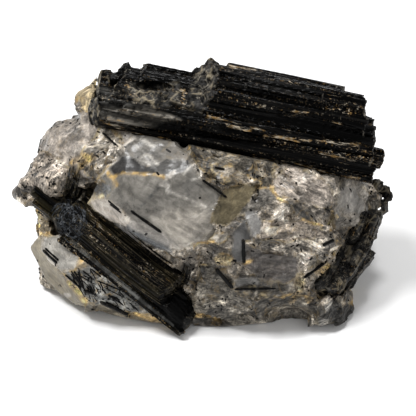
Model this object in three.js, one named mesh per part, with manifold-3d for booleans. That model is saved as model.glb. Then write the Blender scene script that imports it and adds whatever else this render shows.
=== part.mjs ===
// Tourmalinated quartz: a hand specimen of cloudy quartz grown round black tourmaline crystals.
// Millimetres, +Z up. The lump rests on its flat underside at z = 0, with the origin under its middle.
import * as THREE from "three";
import { ConvexGeometry } from "three/addons/geometries/ConvexGeometry.js";
import { mergeVertices } from "three/addons/utils/BufferGeometryUtils.js";
import Module from "manifold-3d";

// The front is laid out along one line of sight, which looks at the lump from the front and above.
const SIGHT_DROP = THREE.MathUtils.degToRad(39);
const SIGHT_DISTANCE = 306.5;
const SIGHT_MIDDLE = new THREE.Vector3(1.4, -3.9, 24.9);

// Clearance between a crystal and the quartz that holds it
const SOCKET_GAP = 0.35;
const SOCKET_SIDES = 18;

// The same for a lump, measured outward at its corners
const LUMP_GAP = 0.7;

// Rise of the three rounded sides of a tourmaline crystal above a plain ellipse
const THREE_SIDED = 0.05;

// How far a broken crystal end is uneven
const BREAK_DEPTH = 1.6;

// How far a front block reaches back, and how much its outline draws in on the way
const BLOCK_DEPTH = 16;
const BLOCK_TAPER = 0.9;

// Corners of an angular lump, and sides of a rounded one
const SHARD_CORNERS = 12;
const PEBBLE_SIDES = 12;

// Seeds of what is uneven
const STEP_SEED = 23;
const UPPER_LUMP_SEED = 71;
const EDGE_LUMP_SEED = 41;

// Side of the block that trims the underside flat
const TRIM = 200;

const QUARTZ_COLOUR = 0xa39d93;
const TOURMALINE_COLOUR = 0x121212;

const wasm = await Module();
wasm.setup();

const RIGHT = new THREE.Vector3(1, 0, 0);
const UP = new THREE.Vector3(0, Math.sin(SIGHT_DROP), Math.cos(SIGHT_DROP));
const TOWARD = new THREE.Vector3(0, -Math.cos(SIGHT_DROP), Math.sin(SIGHT_DROP));

// A point of the lump from where it is seen: millimetres across and up at the middle of the lump,
// and how far in front of the middle it lies.
function seen([across, up, toward]) {
  const nearness = 1 - toward / SIGHT_DISTANCE;
  return SIGHT_MIDDLE.clone()
    .addScaledVector(RIGHT, across * nearness)
    .addScaledVector(UP, up * nearness)
    .addScaledVector(TOWARD, toward);
}

// Repeatable numbers from 0 to 1
function seededRandom(seed) {
  let state = seed;
  return () => {
    state = (state * 1664525 + 1013904223) % 4294967296;
    return state / 4294967296;
  };
}

// An uneven height from -0.5 to 0.5 that depends only on the place
function uneven(x, y) {
  const wave = Math.sin(x * 12.9 + y * 78.2) * 437.6;
  return wave - Math.floor(wave) - 0.5;
}

function solid(geometry) {
  geometry.deleteAttribute("normal");
  geometry.deleteAttribute("uv");
  const merged = mergeVertices(geometry, 1e-4);
  return new wasm.Manifold(
    new wasm.Mesh({
      numProp: 3,
      vertProperties: new Float32Array(merged.attributes.position.array),
      triVerts: new Uint32Array(merged.index.array),
    }),
  );
}

function joined(solids) {
  return solids.reduce((whole, next) => whole.add(next));
}

function block(points) {
  return solid(new ConvexGeometry(points));
}

// A block with the given broken face in front. Its back follows the same outline, drawn in a little.
function facedBlock(face, depth) {
  const sums = face.reduce((sum, [across, up]) => [sum[0] + across, sum[1] + up], [0, 0]);
  const [midAcross, midUp] = sums.map((sum) => sum / face.length);
  const back = face.map(([across, up, toward]) => [
    midAcross + (across - midAcross) * BLOCK_TAPER,
    midUp + (up - midUp) * BLOCK_TAPER,
    toward - depth,
  ]);
  return block([...face, ...back].map(seen));
}

// A rounded lump or hollow: an ellipsoid turned to the line of sight
function pebble(centre, [halfAcross, halfUp, halfToward]) {
  const ball = new THREE.SphereGeometry(1, PEBBLE_SIDES, PEBBLE_SIDES / 2);
  ball.scale(halfAcross, halfUp, halfToward);
  ball.applyMatrix4(new THREE.Matrix4().makeBasis(RIGHT, UP, TOWARD).setPosition(seen(centre)));
  return solid(ball);
}

// Corners of an angular broken lump
function shardCorners(middle, size, seed) {
  const random = seededRandom(seed);
  const corners = [];
  while (corners.length < SHARD_CORNERS) {
    const out = new THREE.Vector3(random() - 0.5, random() - 0.5, random() - 0.5).normalize();
    corners.push(middle.clone().addScaledVector(out, size * (0.75 + 0.25 * random())));
  }
  return corners;
}

// The same corners moved outward, for the room that a lump takes up in the quartz
function grown(corners, middle) {
  return corners.map((corner) => {
    const out = corner.clone().sub(middle).normalize();
    return corner.clone().addScaledVector(out, LUMP_GAP);
  });
}

// Section of a tourmaline crystal: three gently rounded sides with sharp lengthwise ridges, and
// grooves of uneven depth between them
function striatedOutline(halfUp, halfToward, ridges, depth, seed) {
  const random = seededRandom(seed);
  const corners = [];
  for (let i = 0; i < ridges * 2; i++) {
    const angle = ((i + 0.5 * (random() - 0.5)) * Math.PI) / ridges;
    const swell = 1 + THREE_SIDED * Math.cos(3 * angle);
    const cut = depth * (i % 2 ? 0.45 + 0.55 * random() : 0.3 * random());
    const corner = [(halfUp * swell - cut) * Math.cos(angle), (halfToward * swell - cut) * Math.sin(angle)];
    corners.push(new THREE.Vector2(...corner));
  }
  return new THREE.Shape(corners);
}

// The same section without ridges and a gap larger, for the socket that the crystal sits in
function socketOutline(halfUp, halfToward) {
  const corners = [];
  for (let i = 0; i < SOCKET_SIDES; i++) {
    const angle = (i * 2 * Math.PI) / SOCKET_SIDES;
    const swell = 1 + THREE_SIDED * Math.cos(3 * angle);
    const halfWidths = [halfUp * swell + SOCKET_GAP, halfToward * swell + SOCKET_GAP];
    corners.push(new THREE.Vector2(halfWidths[0] * Math.cos(angle), halfWidths[1] * Math.sin(angle)));
  }
  return new THREE.Shape(corners);
}

// A group of parallel crystals. Its axis runs from one seen point to another, and each crystal is
// given by its centre above and in front of that axis, its half widths, where it starts and ends
// along the axis, its ridges, and how its ends slope.
class CrystalGroup {
  constructor(from, to) {
    this.origin = seen(from);
    this.along = seen(to).sub(this.origin).normalize();
    this.ahead = TOWARD.clone().addScaledVector(this.along, -TOWARD.dot(this.along)).normalize();
    this.above = this.ahead.clone().cross(this.along);
    this.crystals = [];
    this.sockets = [];
    this.hollows = [];
  }

  place(up, toward, along) {
    const basis = new THREE.Matrix4().makeBasis(this.above, this.ahead, this.along);
    const centre = new THREE.Vector3(up, toward, along).applyMatrix4(basis).add(this.origin);
    return basis.setPosition(centre);
  }

  prism(outline, crystal, gap, breakDepth) {
    const { up, toward, start, end, startSlope = [0, 0], endSlope = [0, 0] } = crystal;
    const length = end - start + 2 * gap;
    const geometry = new THREE.ExtrudeGeometry(outline, { depth: length, bevelEnabled: false });
    const corners = geometry.attributes.position;
    for (let i = 0; i < corners.count; i++) {
      const [x, y, z] = [corners.getX(i), corners.getY(i), corners.getZ(i)];
      const slope = z > length / 2 ? endSlope : startSlope;
      corners.setZ(i, z + slope[0] * x + slope[1] * y + breakDepth * uneven(x, y));
    }
    geometry.applyMatrix4(this.place(up, toward, start - gap));
    return solid(geometry);
  }

  // A crystal that stands clear of the quartz needs no socket
  add(crystal, held = true) {
    const { half, ridges, depth = 0.5 } = crystal;
    const seed = this.crystals.length * 7919 + ridges;
    const breakDepth = Math.min(BREAK_DEPTH, half[0] / 2);
    this.crystals.push(this.prism(striatedOutline(...half, ridges, depth, seed), crystal, 0, breakDepth));
    if (held) {
      this.sockets.push(this.prism(socketOutline(...half), crystal, SOCKET_GAP + breakDepth / 2, 0));
    }
  }

  // Lumps that are grown together with the crystals
  addAngular(corners, middle) {
    this.crystals.push(block(corners));
    this.sockets.push(block(grown(corners, middle)));
  }

  addRounded({ centre, half }) {
    this.crystals.push(pebble(centre, half));
    this.sockets.push(pebble(centre, half.map((size) => size + LUMP_GAP)));
  }

  addShards(lumps, seed) {
    lumps.forEach(({ centre, size }, i) => {
      const middle = seen(centre);
      this.addAngular(shardCorners(middle, size, seed + i), middle);
    });
  }

  body() {
    return this.hollows.reduce((whole, hollow) => whole.subtract(hollow), joined(this.crystals));
  }
}

// Main tourmaline: the thick group along the top, lying 12 degrees down to the right
const main = new CrystalGroup([-30, 32.1, 0], [46, 16.4, 0]);
main.add({ up: -4.5, toward: 0.3, half: [6.5, 11.4], start: 1.2, end: 74, ridges: 24, depth: 0.7,
  startSlope: [-0.15, 0.15] });
main.add({ up: -1.4, toward: 0, half: [8.2, 12], start: 4, end: 72.4, ridges: 28, depth: 0.7,
  startSlope: [0.35, 0.2], endSlope: [0.04, 0.1] });
main.add({ up: 3, toward: -1, half: [6, 10.5], start: 10, end: 42, ridges: 22, depth: 0.6,
  startSlope: [0.3, 0.2] });
main.add({ up: 6.3, toward: -1, half: [7.4, 9.4], start: 31.4, end: 66.5, ridges: 20, depth: 0.7,
  startSlope: [0.3, 0.1], endSlope: [-0.25, -0.1] }, false);
main.add({ up: 5, toward: 6.5, half: [6.4, 6.9], start: 26.6, end: 70.4, ridges: 18, depth: 0.6,
  startSlope: [0.3, 0.8], endSlope: [-0.15, 0] }, false);
main.add({ up: -3, toward: 8.4, half: [4.2, 4.6], start: 7, end: 74, ridges: 12, startSlope: [0.3, 0.6] });
main.add({ up: -7, toward: 6, half: [4, 5], start: 2, end: 76, ridges: 12, startSlope: [-0.2, 0.4] });
main.add({ up: -3.8, toward: 5.5, half: [3, 4], start: 50, end: 77.3, ridges: 9 });
main.add({ up: 1.5, toward: -8.5, half: [6.4, 6], start: 6, end: 71, ridges: 16, startSlope: [0.5, -0.4],
  endSlope: [0.3, 0.2] });
main.add({ up: -5, toward: -8, half: [6, 6], start: 2, end: 75, ridges: 14, startSlope: [0.1, -0.3] });

// Thin crystals that stand out as steps along its front, each a little further round the group
const STEP_COUNT = 5;
const stepRandom = seededRandom(STEP_SEED);
for (let i = 0; i < STEP_COUNT; i++) {
  const round = THREE.MathUtils.degToRad(-8 + (i * 100) / STEP_COUNT);
  const start = 36 + 14 * stepRandom();
  main.add({ up: 5 + 5.6 * Math.cos(round), toward: 6.4 + 6.2 * Math.sin(round), half: [1.2, 1.3], start,
    end: start + 12 + 10 * stepRandom(), ridges: 4, depth: 0.25 }, false);
}

// Rough broken lumps at its upper left corner and at the peak of its upper step
const UPPER_LUMPS = [
  { centre: [-27, 33.2, 2.5], size: 4 },
  { centre: [-24.6, 34.6, 3.5], size: 3.6 },
  { centre: [-22, 36, 1], size: 3.2 },
  { centre: [1.4, 37, 2], size: 3.6 },
  { centre: [-0.6, 33.4, 6], size: 3.8 },
  { centre: [6.4, 36.6, 0], size: 2.8 },
];
main.addShards(UPPER_LUMPS, UPPER_LUMP_SEED);

// The hollow under the upper left ridge, where crystals have broken out
main.hollows.push(pebble([-14.5, 32.4, 10.6], [5.6, 1.7, 3.4]));

// Lower tourmaline: the slanting bundle at the lower left, with a thin rod along its lower side
const lower = new CrystalGroup([-40, -4.5, 0], [-6, -31, 0]);
lower.add({ up: 6.6, toward: 1.4, half: [6.6, 6.8], start: 1, end: 36, ridges: 18, depth: 0.8,
  endSlope: [0.12, -0.3] });
lower.add({ up: 1.2, toward: 3.2, half: [2.2, 2.4], start: 4, end: 36, ridges: 8 });
lower.add({ up: -2, toward: 4, half: [1.1, 1.3], start: 3, end: 43.8, ridges: 5, depth: 0.25,
  endSlope: [0.6, -0.4] });
lower.add({ up: 3.6, toward: 0.6, half: [1.9, 2], start: -10.5, end: 6, ridges: 7, depth: 0.4 });
lower.add({ up: 1.6, toward: 1, half: [1.6, 1.7], start: -8.5, end: 8, ridges: 6, depth: 0.35 });

// Its stout end crystal, broken across at the lower end
const STUB = [
  [-15, -25.5, 3.5], [-8, -21.5, 3.5], [-5.5, -22, 2.5], [-3, -26, 1.5], [-3, -28, 1.2], [-5, -31.7, 1.6],
  [-7, -33.4, 3.4], [-10, -31.4, 3.2], [-11, -26.5, 6.3], [-6.4, -29.5, 5.2], [-9, -20, -3], [-5, -25, -4],
  [-7, -29, -1.5],
];
const STUB_MIDDLE = [-8, -26.5, 1.5];
lower.addAngular(STUB.map(seen), seen(STUB_MIDDLE));

// The fibrous knot at its upper end and the spray that rises from it
const FIBRES = [
  { centre: [-37, -2.4, 0.8], half: [4.2, 5.6, 5] },
  { centre: [-35, 5.6, 2], half: [1.7, 5.4, 4] },
];
FIBRES.forEach((lump) => lower.addRounded(lump));

// Right tourmaline: the dark ribs along the right edge, with rough lumps at their upper end
const right = new CrystalGroup([31, -22, 2], [41, -9.5, -3]);
right.add({ up: 0, toward: 0, half: [3.8, 4.8], start: -1.5, end: 16, ridges: 12, depth: 0.7,
  startSlope: [-0.3, 0.5] });
right.add({ up: 3.4, toward: 2.2, half: [2.2, 2.6], start: -2, end: 11, ridges: 7, startSlope: [0, 0.5],
  endSlope: [0.6, -0.3] });
right.add({ up: -2.8, toward: -2.2, half: [2.6, 3.6], start: 3, end: 17, ridges: 9, startSlope: [0.4, 0] });
const rightUpper = new CrystalGroup([39.2, -13, -2], [43.4, -1, -5]);
rightUpper.add({ up: 0, toward: 0, half: [3.2, 4.2], start: -3, end: 12.5, ridges: 10, depth: 0.6,
  endSlope: [0.4, -0.2] });
rightUpper.add({ up: 3.2, toward: 2.2, half: [2.6, 3.2], start: 2.5, end: 11, ridges: 8,
  startSlope: [-0.5, 0.5], endSlope: [-0.6, 0] });
rightUpper.add({ up: -1.8, toward: -1.8, half: [2, 3], start: -1, end: 12, ridges: 7 });
right.crystals.push(...rightUpper.crystals);
right.sockets.push(...rightUpper.sockets);
const EDGE_LUMPS = [
  { centre: [46.6, 4, -6], size: 2.9 },
  { centre: [46.4, 0.2, -6], size: 2.6 },
  { centre: [45, 5.8, -5.6], size: 2.6 },
  { centre: [44, -1.5, -5], size: 3.4 },
  { centre: [40.6, -5, 1], size: 3.2 },
  { centre: [37.4, -7, 4.6], size: 2.6 },
];
right.addShards(EDGE_LUMPS, EDGE_LUMP_SEED);

// Broken faces of the quartz that are seen from the front, as corners across, up and toward
const FACES = {
  window: [
    [-20.2, 18.6, 9.5], [-9, 17.2, 10.5], [-4.8, 14, 12], [-23, 13.8, 12], [-28.5, 7, 11], [-32, 1.5, 8],
    [-22, 9.3, 15.5], [-11, 8.3, 17], [-3, 9.5, 14.5], [4, 3, 13.5], [1.5, -5, 14.5], [-26, 2, 14],
    [-21, -4.5, 15.5], [-7, -10.5, 14.5], [-29, -2, 10], [-20, -7.7, 12.5], [-12, -11, 12], [-7, -12.3, 11.5],
    [-3, -9.5, 13],
  ],
  mottledBand: [
    [-5.5, 16.4, 10.5], [6, 14, 11], [18, 11.4, 11], [15, 6, 14.6], [6, 6.5, 14.2], [-2, 10, 13.4],
  ],
  oliveFace: [
    [0.5, -4, 13.6], [2, 1, 14], [5, 5, 13.8], [14, 5.6, 13.8], [10, 1, 14.2], [8, -3, 14], [4.5, -5, 13.5],
  ],
  whiteFace: [
    [14, 6, 14.2], [18, 10.8, 11.2], [27, 9.8, 10.2], [31.5, 7, 9.8], [35, 2, 9], [34.5, -2, 9.4],
    [28, -5, 13], [20, -3.5, 16], [13, -1, 15], [21, 3, 15.4],
  ],
  greySide: [
    [30, 8, 9.4], [36, 8, 5.5], [43.6, 6.2, -1], [46, 2.5, -4.5], [44.4, -2.2, -5], [38, -4.6, 4.4],
    [34, -4, 9], [35, 3, 8.2],
  ],
  roughMiddle: [
    [-1, -9.6, 13.2], [5, -5, 14.4], [13, -1.5, 15], [22, -3.5, 15.6], [32, -4.5, 11], [35, -7.4, 7],
    [32, -11.5, 8.6], [22, -9, 13.2], [9, -9.5, 14], [1, -13, 12],
  ],
  smokyFace: [
    [8.5, -9, 13.4], [22, -8.2, 12.8], [25, -16, 10.6], [22, -23.5, 7], [9, -21.5, 7.8], [6.5, -14, 11.4],
  ],
  rightRough: [
    [22, -9, 13], [32, -10.5, 8.8], [34.6, -13.6, 4.6], [30.5, -21, 4.6], [26, -24.5, 6], [24, -17, 11.2],
  ],
  lowerRough: [
    [0.5, -13, 12], [7, -14.5, 12.2], [9.5, -21.5, 8.6], [22, -23.8, 7.4], [29, -23.5, 5.4], [30, -29.3, 0.6],
    [22, -29, 1.6], [13, -30.3, 0.6], [4, -31.5, 0], [-4, -31.2, 0], [-3, -20, 6], [-2.5, -14.8, 9.5],
  ],
  corner: [
    [29, -29.4, 1.4], [30, -24.5, 5], [35, -21.5, 2.6], [38.6, -22, -3], [38.2, -26.5, -3.4],
    [36.3, -29.3, -2.4], [34, -30.6, -0.6], [31.5, -30.6, 0], [35.4, -26, 3],
  ],
  lowerLeft: [
    [-44.3, -6.8, -2], [-47.2, -10.3, -6], [-45.3, -14.7, -6.5], [-43.2, -18.7, -6.5], [-39.7, -22.3, -6],
    [-36, -25.2, -4.5], [-31, -26.8, -3], [-25, -28.6, -1.8], [-18, -29.9, -1], [-9, -31.3, -0.2],
    [-43.5, -10.8, 0.5], [-39.5, -15, 3.5], [-33, -24.2, 2.5], [-39, -7.8, 2], [-30, -14.5, 5.5],
    [-20, -22.5, 5.5], [-13, -28.5, 3.5], [-34, -15, 5.8], [-27, -23, 4.8],
  ],
  knob: [
    [-49.2, 6.8, -3], [-47.8, 10.5, -3], [-46.8, 13, -3.5], [-44.8, 14.8, -3], [-41, 14.2, 2], [-38, 11.5, 5],
    [-36, 8, 6], [-37.3, 5, 6], [-41, 3.4, 4.5], [-45, 4, 1.5], [-48.6, 5, -2], [-43.5, 9.5, 5.5],
    [-40.5, 7.5, 7], [-46, 8, 2.5],
  ],
  spike: [
    [-51.2, 4.1, -4], [-50.4, 2.6, -4], [-47, 1.2, -2.5], [-45, 0.3, -2.5], [-44, 3.8, 1], [-47.5, 5.6, -1.5],
    [-50.3, 5, -4],
  ],
  leftEdge: [
    [-46, -0.5, -4], [-45.4, -3.5, -4], [-44.2, -6.8, -3], [-41.5, -6.8, 0.5], [-42.5, -3, -0.5],
    [-44, 0.5, -1.5],
  ],
  upperLeft: [
    [-45.2, 15.8, -6], [-43, 20.3, -6], [-40.8, 21.9, -6], [-37.8, 23.4, -6], [-34.5, 23.7, -5],
    [-31.6, 24.8, -3], [-28.8, 22.8, 3], [-25.8, 20.8, 6], [-20.5, 18.8, 9], [-22.8, 15, 11.5],
    [-24.5, 12, 11.5], [-29, 7.5, 10.5], [-34, 7.5, 7], [-38, 12.5, 4], [-41.5, 15, 1], [-37.5, 18.5, 2.5],
    [-32.5, 16, 8], [-29, 13, 10.5],
  ],
  endCrust: [
    [-29.4, 35, -5], [-31.2, 33.4, -5], [-33.3, 30, -4], [-32.8, 26.8, -2.5], [-31.8, 24.4, -1],
    [-29.6, 23, 5], [-30, 26, 4.6], [-30.8, 29.8, 2], [-30.6, 32.4, -2], [-32.5, 18, 4], [-34.5, 21.5, -2],
  ],
};

// The thinner ones, which reach less far back
const THIN_DEPTHS = { spike: 7, leftEdge: 7, knob: 7, upperLeft: 7, lowerLeft: 7, endCrust: 4 };

// What lies between those faces: blocks a little behind them
const BETWEEN = [
  [
    [-20, 17, 8], [0, 14.8, 9.8], [20, 10.6, 9.6], [33, 7, 7.5], [42, 4.5, -1.5], [41, -2, -2],
    [34.4, -12, 3], [32, -22, 1], [32, -28, -1], [12, -29, -0.5], [-4, -30, -1.5], [-3, -16, 6],
    [-6, -10, 11], [-22, -3, 12], [-28, 3, 10], [-24, 11, 11.5], [4, 8, 13], [3, 0, 13.3], [4, -7, 13.3],
    [10, -4, 13.9], [20, -2, 14.6], [30, -2, 11.2], [20, -12, 12], [8, -14, 11.6], [15, -22, 7.5],
    [28, -20, 6.5], [32, -12, 8],
  ],
  [
    [-45, 13, -5], [-42, 18, -4], [-30, 20, 1.5], [-24, 14, 9.5], [-29, 7, 9], [-34, 9, 5.5], [-38, 4, 3],
    [-44, 3, -1.5], [-46, 6, -3], [-36, 14, 4],
  ],
];

// The body of the quartz behind those faces, and the ledges of its back: millimetres to the right of
// and behind the point under the middle of the lump, and up from the underside
const BODY = [
  [-31, -8, -1], [-37, 8, -1], [-31, 23, -1], [-9, 28, -1], [17, 27, -1], [32, 18, -1], [35, 0, -1],
  [29, -14, -1], [-9, -17, -1], [-25, -13, -1], [-45, 8, 17], [-42, 19, 20], [-27, 27, 17], [3, 29, 15],
  [31, 24, 16], [42, 14, 17], [42, 2, 14], [-41, 15, 33], [-31, 24, 32], [-1, 27, 31], [29, 25, 27],
  [41, 16, 27], [39, 6, 28], [-31, 8, 38], [-1, 4, 38], [19, 3, 34],
];
const FLANKS = [
  [[-46.4, 2, 12], [-46, 5, 8], [-47.5, 10, 25], [-45.4, 17, 30], [-44.6, 17.5, 33.5], [-42, 19, 36.6],
    [-37.5, 21, 37.6], [-36, 28, 30], [-38, 26, 12], [-42, 14, 2], [-40, 4, 1], [-36, 24, -1], [-20, 10, 20]],
  [[41, -4, 6], [43, 4, 16], [44, 8, 22], [42, 16, 10], [38, 4, -1], [36, -10, -1], [41, 17, 24],
    [42, 10, 30], [20, 10, 15]],
];
const BACK_LEDGES = [
  [[-40, 19, 8], [-43, 17, 24], [-36, 22, 35], [-14, 26, 32], [-10, 27, 12], [-26, 26, 2], [-28, 31.5, 22],
    [-22, 32, 12], [-34, 27.5, 26], [-26, 14, 20]],
  [[-4, 27, 29], [26, 25, 27], [40, 18, 22], [36, 20, 6], [14, 27, 2], [-4, 28, 10], [10, 32.5, 17],
    [24, 30.5, 12], [22, 30, 22], [14, 14, 15]],
  [[-20, 27, -1], [20, 27, -1], [-16, 28, 12], [14, 28.5, 9], [-4, 32, 3], [6, 31.5, -1], [-10, 31, -1],
    [0, 14, 4]],
];

// The shallow arch under the front edge, and pits in the quartz
const PITS = [
  { centre: [22.5, -31.2, 1], half: [6.5, 2.6, 5] },
  { centre: [-33.4, 3.6, 8.5], half: [2.2, 3.2, 3] },
  { centre: [9, -25.5, 7.6], half: [3, 1.6, 1.6] },
  { centre: [27.5, -13.6, 12], half: [2.6, 1.4, 1.6] },
];

function behind([across, back, up]) {
  return new THREE.Vector3(SIGHT_MIDDLE.x + across, SIGHT_MIDDLE.y + back, up);
}

const blocks = Object.entries(FACES).map(([name, face]) =>
  facedBlock(face, THIN_DEPTHS[name] ?? BLOCK_DEPTH),
);
for (const face of BETWEEN) {
  blocks.push(facedBlock(face, BLOCK_DEPTH));
}
for (const points of [BODY, ...FLANKS, ...BACK_LEDGES]) {
  blocks.push(block(points.map(behind)));
}

const underside = new THREE.BoxGeometry(TRIM, TRIM, TRIM);
underside.translate(0, 0, -TRIM / 2);
const trim = solid(underside);

const groups = { main_tourmaline: main, lower_tourmaline: lower, right_tourmaline: right };
let quartz = joined(blocks);
for (const { centre, half } of PITS) {
  quartz = quartz.subtract(pebble(centre, half));
}
for (const group of Object.values(groups)) {
  quartz = quartz.subtract(joined(group.sockets));
}
quartz = quartz.subtract(trim);

// The largest body of a cut solid, without the crumbs that a cut can leave
function largest(cut) {
  return cut.decompose().sort((a, b) => b.volume() - a.volume())[0];
}

function piece(name, body, colour, roughness) {
  const { vertProperties, triVerts } = body.getMesh();
  const geometry = new THREE.BufferGeometry();
  geometry.setAttribute("position", new THREE.BufferAttribute(vertProperties, 3));
  geometry.setIndex(new THREE.BufferAttribute(triVerts, 1));
  geometry.computeVertexNormals();
  const material = new THREE.MeshStandardMaterial({ color: colour, roughness, metalness: 0 });
  const mesh = new THREE.Mesh(geometry, material);
  mesh.name = name;
  return mesh;
}

const specimen = new THREE.Group();
specimen.add(piece("quartz", largest(quartz), QUARTZ_COLOUR, 0.25));
for (const [name, group] of Object.entries(groups)) {
  specimen.add(piece(name, largest(group.body().subtract(trim)), TOURMALINE_COLOUR, 0.3));
}

export default specimen;
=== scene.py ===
import math
from collections import namedtuple

import bpy
import numpy as np
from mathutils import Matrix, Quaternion, Vector, kdtree, noise
from mathutils.bvhtree import BVHTree


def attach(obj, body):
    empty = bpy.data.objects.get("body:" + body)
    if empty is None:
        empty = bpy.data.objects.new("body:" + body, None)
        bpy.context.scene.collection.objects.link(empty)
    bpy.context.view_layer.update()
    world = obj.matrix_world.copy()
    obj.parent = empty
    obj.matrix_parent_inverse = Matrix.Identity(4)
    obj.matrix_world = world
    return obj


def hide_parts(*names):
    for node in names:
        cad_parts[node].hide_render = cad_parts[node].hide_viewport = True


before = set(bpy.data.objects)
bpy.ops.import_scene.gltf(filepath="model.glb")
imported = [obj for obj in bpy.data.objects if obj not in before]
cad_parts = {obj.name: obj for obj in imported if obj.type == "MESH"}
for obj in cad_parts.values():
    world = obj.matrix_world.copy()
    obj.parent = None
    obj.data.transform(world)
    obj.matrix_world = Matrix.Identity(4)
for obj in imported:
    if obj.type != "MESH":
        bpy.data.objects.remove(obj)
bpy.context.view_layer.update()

MM = 0.001

# The line of sight that the front is laid out along, in millimetres
SIGHT_DROP = math.radians(39)
SIGHT_DISTANCE = 306.5
SIGHT_MIDDLE = np.array((1.4, -3.9, 24.9))
RIGHT = np.array((1, 0, 0))
UP = np.array((0, math.sin(SIGHT_DROP), math.cos(SIGHT_DROP)))
TOWARD = np.array((0, -math.cos(SIGHT_DROP), math.sin(SIGHT_DROP)))
EYE = SIGHT_MIDDLE + SIGHT_DISTANCE * TOWARD

# Ridges sharper than this stay crisp
SHARP = math.radians(24)

# Spacing of the fine skins, in millimetres
QUARTZ_SPACING = 0.52
TOURMALINE_SPACING = {"main_tourmaline": 0.36, "lower_tourmaline": 0.3, "right_tourmaline": 0.3}

# How each crystal group runs, as directions in the frame
CRYSTAL_AXES = {
    "main_tourmaline": (0.979, -0.127, -0.157),
    "lower_tourmaline": (0.789, -0.387, -0.478),
    "right_tourmaline": (0.55, 0.62, 0.56),
}

# Quartz closer to a crystal than this grows up to it, and this far into it, in millimetres
CONTACT = 1.5
CONTACT_DEPTH = 0.15

# Colours that zones, lines and materials share, as sRGB from 0 to 255
CLOUDY = (108, 102, 94)
PALE = (176, 172, 165)
MILKY = (176, 171, 163)
DULL = (168, 164, 157)
FROST = (212, 206, 197)
SNOW = (240, 236, 230)
OLIVE = (104, 95, 74)
TAN = (190, 174, 138)
OCHRE = (178, 148, 92)
DARK = (30, 29, 28)
UMBER = (84, 76, 64)

# Colours of the crystals: fresh, broken, in the seams of breaks, fibrous and polished, the polished one also
# painted shade on the lower bundle, then their yellow and pale scale, and dust and veins on their breaks
JET = (3, 3, 3)
BREAK = (48, 47, 46)
SEAM = (158, 146, 122)
FIBROUS = (40, 36, 24)
POLISHED_AND_SHADE = (2, 2, 2)
YELLOW_SCALE = (158, 126, 78)
PALE_SCALE = (190, 180, 162)
DUST = (104, 102, 98)
VEIN = (176, 168, 152)

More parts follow.
